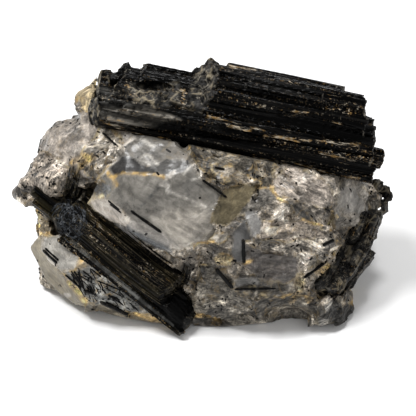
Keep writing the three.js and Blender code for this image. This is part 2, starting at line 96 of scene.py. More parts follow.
# A zone of the quartz as it is seen: its outline across and up in millimetres, its colour, how clear and
# how rough it is, how much of it dark flecks and yellow stains take up, the slope of its streaks in degrees,
# and half the width of its edge in millimetres
Zone = namedtuple("Zone", "outline tone clear rough flecks stain slope edge", defaults=[0.2])
ELSEWHERE = Zone(None, CLOUDY, 0.1, 0.8, 0.45, 0.35, 20)
ZONES = {
    "upper left": Zone([(-47, 16), (-43, 22), (-38, 25), (-31, 26), (-27, 21.5), (-20, 19), (-23, 13.5),
                        (-27, 10), (-30, 6), (-35, 9), (-40, 13.5)],
                       (149, 141, 132), 0.4, 0.22, 0.35, 0.25, -50),
    "upper left chips": Zone([(-34.5, 11), (-32, 18), (-28, 21), (-23, 18.5), (-22.6, 14.5),
                              (-26.8, 10.6), (-30, 6.5)], (118, 112, 103), 0.15, 0.65, 0.5, 0.5, 40),
    "mottled band": Zone([(-20, 20), (-5, 18), (18, 13), (17, 6), (13, 5), (5, 6.5), (0, 8), (-4.5, 13),
                          (-5, 16)], (61, 57, 50), 0.12, 0.6, 0.45, 0.45, -25),
    "band shard": Zone([(0.5, 12), (8, 9.5), (14.5, 6.8), (13, 5.6), (6, 7.2), (1, 9.8)],
                       (100, 94, 85), 0.1, 0.5, 0.2, 0.35, -25),
    "window": Zone([(-20.1, 19.4), (-22.4, 16), (-23.2, 13.6), (-26.6, 10.6), (-29.3, 6.5), (-32.3, 3.2),
                    (-29.9, -0.8), (-22, -5.6), (-17.2, -8.9), (-12.3, -10.6), (-7.5, -11), (-4.3, -9.7),
                    (1.2, -8.7), (2.2, -5.5), (0.4, -3.9), (1.4, -0.7), (4, 4.1), (-2, 7.3), (-4.4, 11.5),
                    (-6.1, 15.6), (-9.6, 17.8)], (138, 134, 127), 0.55, 0.05, 0.03, 0.03, -28),
    "window top": Zone([(-20.1, 19), (-9.6, 17.4), (-6.1, 15.3), (-5.3, 12.8), (-11.5, 13.4), (-12, 11.2),
                        (-16.6, 11.2), (-19.9, 13.9), (-22.3, 14.2), (-22.3, 16.1)],
                       (112, 109, 104), 0.35, 0.1, 0.08, 0.06, -22),
    "window top end": Zone([(-12, 15.5), (-9.6, 17.3), (-6.3, 15.3), (-5.4, 12.9), (-8, 12.9), (-11, 13.6)],
                           (112, 108, 102), 0.25, 0.08, 0.1, 0.08, -22, 0.8),
    "window dark facet": Zone([(-23.1, 13.9), (-19.9, 13.4), (-17.7, 11.5), (-14.5, 10.7), (-12.8, 8.8),
                               (-22.3, 9.3), (-24.7, 8.8), (-25.8, 10.7)],
                              (50, 49, 48), 0.25, 0, 0, 0, 0),
    "window side facet": Zone([(-14.5, 10.7), (-11.2, 13.1), (-5.3, 12), (-4.4, 10.7), (-6.9, 9.3),
                               (-8.8, 9.9), (-10.9, 8.2), (-12.8, 8.8)],
                              (86, 84, 81), 0.45, 0.05, 0.05, 0, 30),
    "window left end": Zone([(-30.2, 5.5), (-28, 7.5), (-25.5, 5), (-26.8, 2.6), (-29.5, 2.5)],
                            (108, 109, 109), 0.5, 0.2, 0.1, 0.2, 45),
    "window veil": Zone([(-14, -3.5), (-9, -0.5), (-3, 0.2), (1.2, -1), (0.3, -4), (2, -5.4), (1, -8.5),
                         (-4.3, -9.5), (-7.5, -10), (-11.5, -6.8)],
                        (184, 177, 166), 0.4, 0.05, 0, 0, -35, 2.5),
    "window bright facet": Zone([(-32, 3), (-28.8, 2.3), (-26.6, 2.3), (-23.1, -0.1), (-20.4, -3.1),
                                 (-22, -5.3), (-25.8, -3.9), (-29.9, -0.7)],
                                (176, 168, 158), 0.3, 0.1, 0.08, 0.1, -40),
    "window foot": Zone([(-20.6, -3.2), (-17.2, -3.8), (-11.8, -6.7), (-8.2, -10), (-12.3, -10.3),
                         (-17.2, -8), (-21.5, -5.4)], (166, 161, 154), 0.4, 0.08, 0.05, 0, -38, 0.5),
    "window dark foot": Zone([(-22, -5.5), (-21.5, -4.6), (-17, -7.4), (-12.3, -9.6), (-9.4, -11.4),
                              (-13, -11.2), (-18, -9)], (98, 101, 104), 0.5, 0.1, 0.1, 0, -38, 0.6),
    "olive face": Zone([(0.4, -3.9), (1.4, -0.7), (4, 4.1), (6.6, 6), (9.1, 6.4), (13.3, 5.1),
                        (11.1, 2.5), (7.8, -2), (5, -4.9)], OLIVE, 0.35, 0.12, 0.12, 0.12, 42),
    "grey wedge": Zone([(13.3, 5.1), (16.5, 5.5), (18.8, 2.5), (15.2, 0.9), (11.7, -0.7), (8, -2),
                        (11.1, 2.5)], (104, 100, 94), 0.3, 0.35, 0.4, 0.25, 40),
    "pale facet": Zone([(9.8, -1), (11.7, -0.4), (14.3, -3.6), (14, -6.5), (11.7, -7.8), (10.4, -4)],
                       (134, 132, 129), 0.35, 0.1, 0.05, 0.05, 60),
    "slate facet": Zone([(6.6, -6.5), (9.8, -3), (11.4, -7.8), (9.8, -14.5), (7.5, -14.2), (6.2, -12.3)],
                        (100, 99, 98), 0.45, 0.06, 0.05, 0.03, 80),
    "light shard": Zone([(0.2, -8.3), (2.5, -6.7), (5.4, -6.6), (5, -8.5), (2.5, -9.6)],
                        (160, 154, 144), 0.25, 0.2, 0.1, 0.3, 20),
    "white face": Zone([(16.9, 6.1), (18.5, 3.5), (23, 1.9), (32.6, -0.4), (33.9, 1.6), (32.9, 4.1),
                        (30.4, 6.7), (26.2, 9.6), (21.7, 11.2), (18.5, 8.9)],
                       (113, 106, 99), 0.15, 0.4, 0.25, 0.2, -30),
    "grey side": Zone([(34.2, 5.4), (36.5, 8.3), (39.7, 6.4), (44.2, 2.8), (42.3, -2.6), (39.4, -4.6),
                       (34.5, -5.8), (33.6, -2), (34.2, 1.6)], (122, 117, 110), 0.25, 0.3, 0.3, 0.15, 30),
    "grey side pane": Zone([(35.3, 5.2), (38.5, 5.6), (41.5, 1.5), (40.5, -2), (37, -1), (34.8, 0.5)],
                           (134, 130, 124), 0.3, 0.12, 0.1, 0.05, 60),
    "beige streaks": Zone([(14.3, -3.4), (18.5, -3.6), (21.7, -4.6), (25, -3), (30, -5.2), (31.6, -7.8),
                           (22, -8.6), (14, -8.4)], (132, 123, 113), 0.12, 0.5, 0.25, 0.3, -15),
    "cream chip": Zone([(14.6, -5.8), (15.9, -4.9), (19.1, -5.5), (18.1, -7.1), (15.5, -6.9)],
                       (176, 166, 147), 0.1, 0.4, 0.05, 0.2, 25),
    "white spot": Zone([(17.8, 0), (20.4, 1.2), (22.6, -2.6), (21.7, -4.6), (18.5, -3.6), (16.5, -2.9)],
                       (184, 175, 164), 0.1, 0.5, 0.05, 0.1, 35),
    "dark sliver": Zone([(20.4, 2.2), (23.6, 1.2), (25.9, -0.7), (28.1, -4.2), (24.9, -2.9), (22.6, -0.4)],
                        (62, 60, 57), 0.2, 0.4, 0.3, 0.15, -40),
    "rough band": Zone([(9.8, -9), (14, -8.3), (22, -8.5), (31.6, -7.7), (34, -9), (33, -13), (28.5, -16),
                        (24, -13), (15.2, -12.2)], (152, 145, 135), 0.08, 0.8, 0.6, 0.35, -10),
    "white chips": Zone([(25.3, -12.8), (28.8, -12.4), (30, -14.5), (26.5, -16.2)],
                        (130, 124, 114), 0.05, 0.7, 0.3, 0.2, 40),
    "smoky face": Zone([(10.1, -9.1), (15.2, -12), (23.6, -12.9), (24.2, -18.1), (20.4, -20),
                        (13.3, -18.7), (9.5, -15.5)], (98, 93, 89), 0.4, 0.28, 0.12, 0.05, -8, 0.6),
    "bright layer": Zone([(6.9, -19), (13.3, -18.5), (13.5, -20.4), (7.2, -21)],
                         (120, 118, 115), 0.25, 0.25, 0.1, 0.05, 3),
    "smoky foot": Zone([(13.3, -18.7), (20.4, -20), (23.5, -18.5), (22.5, -23), (10, -23.2), (7, -21.5),
                        (13.4, -20.6)], (102, 97, 89), 0.35, 0.4, 0.3, 0.15, 3),
    "lower rough": Zone([(-3, -15), (1.5, -16), (6.6, -21.4), (9, -22.6), (22, -23.2), (30, -24.5),
                         (31, -36), (-9, -36), (-4, -22)], (88, 84, 77), 0.1, 0.75, 0.6, 0.3, 5),
    "tan knot": Zone([(1.3, -14), (3.5, -13), (6.3, -13.3), (6, -15.6), (2.5, -15.7)],
                     (186, 170, 136), 0.05, 0.6, 0.2, 0.6, 30),
    "speckled lump": Zone([(32.5, -22), (35, -21.3), (38.4, -19.2), (38.4, -25), (36, -26), (33.5, -24.5)],
                          (124, 117, 106), 0.08, 0.8, 0.8, 0.5, 45),
    "corner": Zone([(28, -35), (29.5, -25.5), (33, -24.4), (36, -26), (41, -25), (41, -35)],
                   (44, 43, 41), 0.05, 0.7, 0.4, 0.15, 50),
    "lobe": Zone([(-44, -6), (-48, -10), (-43.4, -19), (-36, -27), (-31, -27), (-32.3, -24.8),
                  (-37, -19.8), (-41.4, -14.3), (-43.8, -11)],
                 (136, 126, 104), 0.35, 0.06, 0.05, 0.1, -50),
    "lobe veil": Zone([(-44, -7.5), (-38, -7.5), (-35.3, -11), (-34, -13), (-35, -16.4), (-38.4, -16.7),
                       (-41.4, -14.3), (-43.8, -11)], (172, 168, 160), 0.35, 0.08, 0.05, 0.1, -45, 0.8),
    "needle field": Zone([(-34, -13), (-28, -14), (-14, -26), (-12, -29), (-22, -27.5), (-32.3, -24.8),
                          (-38.4, -16.7), (-35, -16.4)], (116, 116, 113), 0.3, 0.35, 0.08, 0.55, -30),
    "lower edge": Zone([(-32.3, -24.8), (-26, -26), (-22, -27.5), (-12, -29.3), (-9, -32), (-25, -31),
                        (-33, -28)], (112, 105, 92), 0.25, 0.3, 0.3, 0.15, -25),
    "knob": Zone([(-50, 7), (-47, 14), (-44, 15), (-40, 13.5), (-37, 10), (-36, 7), (-38, 4.5), (-42, 3),
                  (-52, 1.5), (-52, 6)], (126, 118, 109), 0.05, 0.9, 0.9, 0.15, 60),
    "left edge": Zone([(-47, 0.5), (-46, -8), (-41, -7), (-42, 0.5)],
                      (112, 102, 84), 0.2, 0.6, 0.6, 0.5, 80),
    "end crust": Zone([(-28, 37), (-31, 34.5), (-34, 30), (-33, 26.5), (-31.5, 24.5), (-29.5, 23),
                       (-29, 26), (-30.3, 30)], (146, 132, 104), 0.05, 0.5, 0.1, 0.45, 60),
}
FIELDS = ("tone", "clear", "rough", "flecks", "stain")

# The hidden sides show the same kinds of quartz in irregular patches about this wide, in millimetres
PATCH_WIDTH = 13
PATCHES = ["upper left", "upper left chips", "mottled band", "smoky face", "white face", "lobe",
           "beige streaks", "lower rough", "grey side", "window", "rough band", "pale facet", "slate facet"]

# How far outlines waver, how far patches are bent, and half the width of stained rims, in millimetres
ZONE_WAVER = 0.3
PATCH_BEND = 3
RIM_WIDTH = 0.45

# How far behind what the eye sees a point counts as seen, and from where it is hidden, in millimetres
SEEN_DEPTH = 1.5
HIDDEN_DEPTH = 4

# Chips of the quartz: how much they differ, the shares that are bright and dark, and the brightest colour
CHIP_STEP = 1.3
BRIGHT_CHIPS = 0.06
DARK_CHIPS = 0.07
BRIGHTEST = (184, 177, 167)

# Stains and chips drawn as lines, and one painted highlight: points across and up, width in millimetres, and
# colour
Line = namedtuple("Line", "points width tone")
QUARTZ_LINES = [
    Line([(-26.1, 8.2), (-22.3, 9.3), (-15, 8.8), (-11.2, 8.1)], 0.45, OCHRE),
    Line([(-26.5, 9.5), (-25, 7.6), (-24.5, 6)], 0.8, OCHRE),
    # Painted highlight: a small white glint on the window
    Line([(-10.9, 8.2), (-8.8, 9.6)], 0.6, FROST),
    Line([(-6.3, 9), (-4.4, 11), (-2.4, 10), (-2.3, 8), (-4.5, 7.6)], 0.35, PALE),
    Line([(-11, 4.6), (-6, 2.6), (-0.8, 0.4)], 0.4, MILKY),
    Line([(-12.5, 6.3), (-10.5, 5.6)], 0.4, MILKY),
    Line([(-19.3, 16.5), (-16, 14), (-13.3, 11.6)], 0.4, DULL),
    Line([(-17.4, 13.8), (-15.7, 11.6)], 0.5, DULL),
    Line([(-17.6, 0.4), (-13.2, 5.4)], 0.6, (70, 70, 69)),
    Line([(-11.3, 7), (-10, 4)], 0.6, PALE),
    Line([(-9.6, -10.3), (-7.4, -10.5), (-4.7, -9.7)], 0.5, SNOW),
    Line([(-4.2, -9.7), (1.2, -8.9)], 0.5, OCHRE),
    Line([(-29.2, 6.6), (-26.6, 10.7), (-23.2, 13.6), (-22.3, 16), (-20.1, 18.6)], 0.45, FROST),
    Line([(-32, 1.5), (-30.5, 3), (-28, 3)], 0.7, TAN),
    Line([(-36, 12), (-33, 14), (-30, 13)], 0.9, OCHRE),
    Line([(-36, 8), (-33.5, 11.5), (-31, 13)], 0.6, OCHRE),
    Line([(-36.7, -19.8), (-34.6, -22.3), (-32.6, -24.5)], 0.9, (214, 180, 112)),
    Line([(-34.2, -12.9), (-34, -15.6)], 1, OCHRE),
    Line([(-35.5, -17), (-34.4, -19.5)], 0.7, TAN),
    Line([(-21.8, -27.9), (-17, -28.9), (-11.3, -30.2)], 0.7, OCHRE),
    Line([(-37.7, -23), (-37.1, -23.2)], 0.6, SNOW),
    Line([(24.4, -18.2), (25, -20), (24.6, -22)], 1.3, TAN),
    Line([(24.2, -22.6), (22.4, -25.3)], 1.1, OCHRE),
    Line([(26, -23.6), (27, -25)], 0.8, OCHRE),
    Line([(29, -17), (32, -15.6)], 0.9, OCHRE),
    Line([(34.5, -22.5), (36.5, -21.5), (38.4, -19.4)], 1, OCHRE),
    Line([(-46, 0), (-45, -4), (-44, -7), (-41, -6.6)], 0.6, OCHRE),
    Line([(10, -14.6), (11.5, -14)], 0.6, OCHRE),
    Line([(-3.5, -28.6), (0, -29.6), (3, -30.6)], 0.7, OCHRE),
    Line([(-27, 22.6), (-29.2, 19.1), (-32.3, 16.7), (-35, 15)], 0.35, FROST),
    Line([(-27.3, 21.5), (-27.9, 19.8), (-29.6, 18.6)], 0.3, FROST),
    Line([(-40.5, 13.4), (-39, 11.6)], 0.5, FROST),
    Line([(-17.6, 18), (-14.5, 16.2)], 0.35, DULL),
    Line([(16.9, 6.1), (18.8, 2.5), (20.2, 1.6)], 0.4, OCHRE),
    Line([(24.9, -3), (28.1, -4.3), (30.5, -4.8)], 0.35, OCHRE),
    Line([(33.2, -1), (33.8, -3.4), (32.6, -6)], 0.4, OCHRE),
    Line([(8.2, -18.4), (14.3, -18.1)], 0.3, DARK),
    Line([(13, -23.6), (20, -23.4), (25, -22.6)], 0.6, UMBER),
    Line([(23.2, -10.6), (23.9, -12)], 0.8, DARK),
    Line([(12.9, -8.4), (14.9, -8.7)], 0.5, DARK),
    Line([(33.6, -1.6), (34.4, -3.2)], 0.7, DARK),
    Line([(14, -24.6), (20, -25.2), (28, -24.8)], 0.5, DARK),
    Line([(2, -26), (8, -27.5), (14, -27)], 0.4, DARK),
]

# Lines across and up along which pale and yellow scale is thickest on the main crystals
MAIN_STREAKS = [
    [(0, 24.5), (15, 20.5)],
    [(5, 22.3), (11, 20.5)],
    [(15, 19), (27, 17.6)],
    [(29, 18.2), (40, 17)],
    [(30, 14.5), (39, 12.6)],
    [(31.5, 26.5), (33.5, 26.1)],
    [(31, 22.8), (35, 22.2)],
    [(23, 25.8), (26, 25.2)],
    [(-21.5, 33), (-19, 28.5), (-17.5, 31.5)],
    [(-16.5, 30.5), (-10, 31), (-6.5, 31), (-6.5, 27)],
    [(2.5, 39.2), (6, 37.5), (12.5, 36.8)],
    [(-28.4, 23.2), (-20, 19.8), (-10, 18.1)],
    [(12, 13.4), (24, 10.8), (40, 7.6)],
]

# Painted highlight along the long rod: a line across and up, its half width in millimetres and its colour
ROD_HIGHLIGHT = Line([(-36.3, -8.9), (-9.5, -31.2)], 0.55, (104, 104, 101))

# The smooth end crystal of the lower bundle, and the side of the bundle blackened by painted shade under the
# window's overhang
STUB = [(-14.5, -25.5), (-12, -22), (-7.5, -22.5), (-2.9, -26.7), (-3.3, -29.1), (-7.1, -33.5), (-11, -30)]
PAINTED_SHADE_SIDE = [(-27, -4.3), (-17, -9), (-8.8, -13), (-8.6, -16.8), (-19, -13.6)]

# Broken grey parts of the main crystals
MAIN_BREAKS = [
    [(-6.5, 27.5), (-3, 35.7), (1.5, 40.3), (1.2, 36.5), (1.5, 31), (-2, 25.5)],
    [(-21, 33), (-15, 31.5), (-8, 33.5), (-7, 28), (-14, 26.5), (-20, 28)],
]

# Worn grey faces at the left end of the main crystals: outline across and up, and colour
Face = namedtuple("Face", "outline tone")
MAIN_FACES = [
    Face([(-28.4, 26.6), (-20.6, 27), (-14.3, 26.4), (-8.8, 23.6), (-14.3, 21.9), (-21.2, 22),
          (-27.4, 23.2)], (106, 102, 95)),
    Face([(-30, 31.7), (-21.6, 31.4), (-18.5, 29.3), (-20, 27), (-28.8, 26.3)], (70, 69, 66)),
]

# The right group is broken at least this far all over, and the ends of the lower bundle only this far
RIGHT_BROKEN = 0.6
LOWER_BROKEN = 0.3

# Needles that show on the front: both ends across and up, and width, in millimetres
FRONT_NEEDLES = [
    ((-20.5, -0.7), (-12.3, -6.5), 0.8), ((-26.5, 2), (-23.5, -0.5), 0.5), ((-26, 1), (-23, -1.3), 0.4),
    ((-1.5, 7.5), (5, 2.8), 0.6), ((-28, 20), (-24, 16.3), 0.6), ((9.3, -8.3), (9.5, -14.7), 1.0),
    ((7, -21.6), (18, -21.3), 0.6), ((2.1, -16.1), (6.6, -21.3), 1.1), ((25.5, -18.5), (31.5, -14), 0.8),
    ((-43.8, -11.1), (-40, -14.7), 0.8), ((-43.2, -10.6), (-39.6, -13.9), 0.6),
    ((-31.8, -13.8), (-31.6, -19.3), 0.7), ((-37.9, -17.7), (-33.6, -21.4), 0.5),
    ((-36.3, -16.7), (-33.3, -21.1), 0.5), ((-35.5, -16.7), (-33, -21.4), 0.5),
    ((-28.9, -17.4), (-25.5, -17.9), 0.6), ((-28.4, -15.7), (-29.2, -17.4), 0.6),
    ((-33, -21.8), (-25.8, -24.2), 0.8), ((-28.2, -21.4), (-25.7, -23.8), 0.6),
    ((-28.8, -22), (-26.2, -24.1), 0.4), ((-28.6, -24.8), (-21.1, -28.2), 1.2),
    ((-47, 2), (-41, -1), 0.6), ((-45.5, 2.6), (-40.5, 0.4), 0.5), ((-20.4, -28.4), (-19.4, -30.6), 0.9),
    ((30.4, -9.9), (33.4, -8.5), 1.0), ((6.5, -13.9), (7.6, -14.1), 0.6),
    ((-11.1, 15.6), (-9.9, 14.8), 0.5), ((1.8, 10.8), (4.4, 10.3), 0.5), ((31, -0.2), (32.4, -0.8), 0.4),
]

# How far along a needle its rings lie, and how wide each is
NEEDLE_RINGS = ((0, 0.35), (0.06, 1), (0.94, 1), (1, 0.35))

# Seeds and numbers of the small pieces: needles tried on the hidden sides and needles that cross in the
# needle field, flakes, and fibres round the knot
NEEDLE_SEED = 11
SCATTERED_NEEDLES = 240
FIELD_NEEDLES = 75
FLAKE_SEED = 13
FLAKES = 900
FIBRE_SEED = 12
KNOT_FIBRES = 210

# How many spots a fibre has, how far it is lifted toward the eye, and its longest step from one spot to the
# next, in millimetres
FIBRE_SPOTS = 9
FIBRE_LIFT = 0.18
LONGEST_STEP = 3

# The knot at the upper end of the lower bundle: its middle across and up, and how narrow it is
KNOT = (-36.6, -2.8)
KNOT_NARROW = 0.72

# Fibres rise from the knot in a spray and run along the bundle: lines across and up, how many fibres follow
# each line, and half the width they take up in millimetres
SPRAY = [(-37.4, -1), (-36.8, 4), (-35.6, 8.5), (-35.2, 11)]
BUNDLE = [(-36, 0.2), (-26, -8.4), (-16, -16.6), (-7, -23)]
BUNDLE_END = [(-5.2, -15.4), (-6.2, -18.8), (-9.2, -21.4), (-14, -23.6)]
FIBRE_ROWS = [(SPRAY, 45, 1.6), (BUNDLE, 90, 5.5), (BUNDLE_END, 80, 1.3)]

# Fresh and dull colours of the small pieces
NEEDLE_TONES = ((10, 10, 10), (46, 43, 38))
FLAKE_TONES = ((12, 12, 12), (50, 47, 43))
KNOT_DARK = ((12, 13, 14), (56, 58, 60))
# The pale knot strands carry painted sheen: their blue-grey stands in for the shine along the fibres
KNOT_SHEEN = ((58, 61, 65), (150, 153, 156))
BUNDLE_DARK = ((12, 11, 10), (60, 54, 42))
BUNDLE_LIGHT = ((46, 42, 33), (124, 112, 86))

# How far apart the noise of one seed and the next are taken
SEED_SHIFT = Vector((17.3, 9.1, 5.7))


def linear(tone):
    """An sRGB colour of 0 to 255 as linear light."""
    share = np.array(tone) / 255
    return np.where(share < 0.04045, share / 12.92, ((share + 0.055) / 1.055) ** 2.4)


def ramp(values, low, high):
    """0 below low, 1 above high, smooth between them."""
    share = np.clip((values - low) / (high - low), 0, 1)
    return share * share * (3 - 2 * share)


def wander(points, width, seed, octaves=3):
    """Smooth uneven values of about -1 to 1 at points, with lumps about a width across."""
    shift = seed * SEED_SHIFT
    return np.array([noise.fractal(Vector(p) / width + shift, 1, 2, octaves) for p in points])


def sight(points):
    """Where points are seen: across and up in millimetres at the middle of the lump."""
    offset = points - SIGHT_MIDDLE
    nearness = 1 - offset @ TOWARD / SIGHT_DISTANCE
    return np.stack([offset @ RIGHT / nearness, offset @ UP / nearness], 1)


def edge_distance(spots, points):
    """Distance from each spot to a line through points."""
    corners = np.array(points, float)
    nearest = np.full(len(spots), np.inf)
    for start, end in zip(corners, corners[1:]):
        run = end - start
        share = np.clip((spots - start) @ run / (run @ run), 0, 1)
        nearest = np.minimum(nearest, np.linalg.norm(spots - start - share[:, None] * run, axis=1))
    return nearest


def inside(spots, outline):
    """Signed distance into an outline: positive inside it."""
    corners = np.array(outline, float)
    across, up = spots.T
    odd = np.zeros(len(spots), bool)
    for (x0, y0), (x1, y1) in zip(corners, np.roll(corners, -1, 0)):
        crosses = (y0 > up) != (y1 > up)
        if y0 != y1:
            odd ^= crosses & (across < x0 + (up - y0) * (x1 - x0) / (y1 - y0))
    return np.where(odd, 1, -1) * edge_distance(spots, [*outline, outline[0]])


class Cells:
    """Irregular cells about a width across, each with random values of its own."""

    def __init__(self, points, width, seed):
        rng = np.random.default_rng(seed)
        low, high = points.min(0) - width, points.max(0) + width
        count = int(np.prod((high - low) / width))
        self.centres = rng.uniform(low, high, (count, 3))
        self.tilts = rng.normal(0, 1, (count, 3))
        self.values = rng.uniform(0, 1, count)
        self.tree = kdtree.KDTree(count)
        for i, centre in enumerate(self.centres):
            self.tree.insert(centre, i)
        self.tree.balance()
        self.cells = np.array([self.tree.find(p)[1] for p in points])

    def value(self):
        """A random value for each point, the same all over its cell."""
        return self.values[self.cells]

    def way(self):
        """A direction for each point, the same all over its cell."""
        ways = self.tilts[self.cells]
        return ways / np.linalg.norm(ways, axis=1)[:, None]


class Chips(Cells):
    """A surface broken into hollow tilted faces that meet in sharp ridges."""

    NEAR = 8

    def __init__(self, points, width, seed, slope, hollow):
        super().__init__(points, width, seed)
        near = np.array([[found[1] for found in self.tree.find_n(p, self.NEAR)] for p in points])
        away = points[:, None, :] - self.centres[near]
        depths = slope * (away * self.tilts[near]).sum(2) + hollow * (away ** 2).sum(2) / width
        order = np.argsort(depths, axis=1)
        rows = np.arange(len(points))
        self.cells = near[rows, order[:, 0]]
        lowest = depths[rows, order[:, 0]]
        self.heights = lowest - lowest.mean()
        self.ridge = depths[rows, order[:, 1]] - lowest


def fine_skin(name, node, spacing):
    """A copy of a CAD node as an even skin of small faces."""
    piece = bpy.data.objects.new(name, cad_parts[node].data.copy())
    bpy.context.scene.collection.objects.link(piece)
    remesh = piece.modifiers.new("remesh", "REMESH")
    remesh.mode = "VOXEL"
    remesh.voxel_size = spacing * MM
    remesh.use_smooth_shade = True
    evaluated = piece.evaluated_get(bpy.context.evaluated_depsgraph_get())
    mesh = bpy.data.meshes.new_from_object(evaluated)
    piece.modifiers.clear()
    piece.data = mesh
    piece.data.materials.clear()
    return piece


def corners_of(mesh):
    """Vertex places and normals of a mesh, in millimetres."""
    places = np.empty(len(mesh.vertices) * 3)
    normals = np.empty(len(mesh.vertices) * 3)
    mesh.vertices.foreach_get("co", places)
    mesh.vertex_normals.foreach_get("vector", normals)
    return places.reshape(-1, 3) / MM, normals.reshape(-1, 3)


def set_corners(mesh, points):
    """Moves the vertices of a mesh to points in millimetres, none below the floor, and keeps ridges crisp."""
    points[:, 2] = np.maximum(points[:, 2], 0)
    mesh.vertices.foreach_set("co", (points * MM).ravel())
    mesh.update()
    mesh.set_sharp_from_angle(angle=SHARP)


def put(mesh, name, values, kind="FLOAT"):
    """A value, vector or colour for each vertex, for the material to read."""
    field = {"FLOAT": "value", "FLOAT_VECTOR": "vector", "FLOAT_COLOR": "color"}[kind]
    if kind == "FLOAT_COLOR":
        values = np.concatenate([values, np.ones((len(values), 1))], 1)
    mesh.attributes.new(name, kind, "POINT").data.foreach_set(field, values.ravel())


def blend_in(values, new, share):
    """Values moved toward new ones by a share of 0 to 1."""
    if values.ndim == 2:
        share = share[:, None]
    return values + (new - values) * share


def tree_of(pieces):
    """One search tree over the faces of pieces, in millimetres."""
    corners = []
    faces = []
    for piece in pieces:
        faces += [[len(corners) + i for i in face.vertices] for face in piece.data.polygons]
        corners += [corner.co / MM for corner in piece.data.vertices]
    return BVHTree.FromPolygons(corners, faces)


def in_sight(points):
    """1 where the eye sees a point of the quartz, 0 where it is well behind what the eye sees."""
    tree = tree_of([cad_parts["quartz"]])
    eye = Vector(EYE)
    behind = []
    for point in points:
        line = Vector(point) - eye
        _, _, _, distance = tree.ray_cast(eye, line.normalized())
        behind.append(0 if distance is None else line.length - distance)
    return ramp(-np.array(behind), -HIDDEN_DEPTH, -SEEN_DEPTH)


# Quartz

def zone_value(zone, field):
    """A value of a zone, with its colour as linear light."""
    value = getattr(zone, field)
    return linear(value) if field == "tone" else np.float64(value)


def draw_lines(points, spots, waver, facing, fields):
    """Draws the lines of the quartz, patchy and hardly clear, into its fields."""
    patchy = 0.4 + 0.6 * ramp(wander(points, 1.7, seed=7, octaves=4), -0.35, 0.2)
    for line in QUARTZ_LINES:
        gap = edge_distance(spots, line.points) + 0.25 * waver * min(1, line.width)
        share = facing * ramp(-gap, -line.width - 0.5 * QUARTZ_SPACING, -0.3 * line.width) * patchy
        fields["tone"] = blend_in(fields["tone"], linear(line.tone), 0.9 * share)
        fields["clear"] = blend_in(fields["clear"], 0.05, share)


def quartz_zones(points):
    """Colour, clearness, roughness, flecks, stain and rims at each vertex, and the way its streaks run."""
    facing = in_sight(points)
    waver = np.stack([wander(points, 3, seed) for seed in (1, 2)], 1)
    spots = sight(points) + ZONE_WAVER * waver
    bend = np.stack([wander(points, 8, seed) for seed in (3, 4, 5)], 1)
    patches = Cells(points + PATCH_BEND * bend, PATCH_WIDTH, seed=6)
    kinds = (patches.value() * len(PATCHES)).astype(int)
    ways = patches.way()
    shown = {}
    for field in FIELDS:
        shown[field] = np.tile(zone_value(ELSEWHERE, field), (len(points), 1)).squeeze()
    rim = np.zeros(len(points))
    for zone in ZONES.values():
        depth = inside(spots, zone.outline)
        share = ramp(depth, -zone.edge, zone.edge)
        for field in FIELDS:
            shown[field] = blend_in(shown[field], zone_value(zone, field), share)
        stained = min(1, 2.5 * zone.stain) * ramp(-np.abs(depth), -RIM_WIDTH, -0.05)
        rim = np.maximum(rim * (1 - share), stained)
        slope = math.radians(zone.slope)
        ways[(share * facing) > 0.5] = math.cos(slope) * RIGHT + math.sin(slope) * UP
    fields = {}
    for field in FIELDS:
        hidden = np.array([zone_value(ZONES[kind], field) for kind in PATCHES])[kinds]
        fields[field] = blend_in(hidden, shown[field], facing)
    draw_lines(points, spots, waver[:, 0], facing, fields)
    fields["rim"] = rim * facing
    return fields, ways


def grown_to_crystals(points, normals, heights):
    """Points of the quartz raised by heights, but flat underneath and drawn to the crystals beside them."""
    crystals = tree_of([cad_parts[name] for name in CRYSTAL_AXES])
    hits = [crystals.find_nearest(Vector(p), 2 * CONTACT) for p in points]
    gaps = np.array([2 * CONTACT if hit[0] is None else hit[3] for hit in hits])
    free = ramp(gaps, 0.5 * CONTACT, 2 * CONTACT)
    off_floor = ramp(points[:, 2], 0.4, 2)
    moved = points + normals * (heights * free * off_floor)[:, None]
    pulls = ramp(-gaps, -1.3 * CONTACT, -0.6 * CONTACT)
    for i, (place, normal, _, _) in enumerate(hits):
        if place is not None:
            moved[i] += pulls[i] * (np.array(place - CONTACT_DEPTH * normal) - moved[i])
    return moved


def chip_tones(fields, coarse, small):
    """The colours of the quartz with each rough chip lighter or darker than its neighbours."""
    paleness = ramp(fields["tone"][:, 1], 0.04, 0.25)
    varied = ramp(fields["rough"], 0, 0.5) * (1.9 - 0.9 * paleness)
    steps = CHIP_STEP * (coarse.value() - 0.5) + CHIP_STEP * (small.value() - 0.5)
    tone = fields["tone"] * (2 ** (varied * steps))[:, None]
    bright = small.value() > 1 - BRIGHT_CHIPS
    tone = blend_in(tone, 1.8 * tone, fields["rough"] * bright)
    tone = np.minimum(tone, linear(BRIGHTEST))
    dark = small.value() < DARK_CHIPS
    return blend_in(tone, linear(DARK), fields["flecks"] * dark)


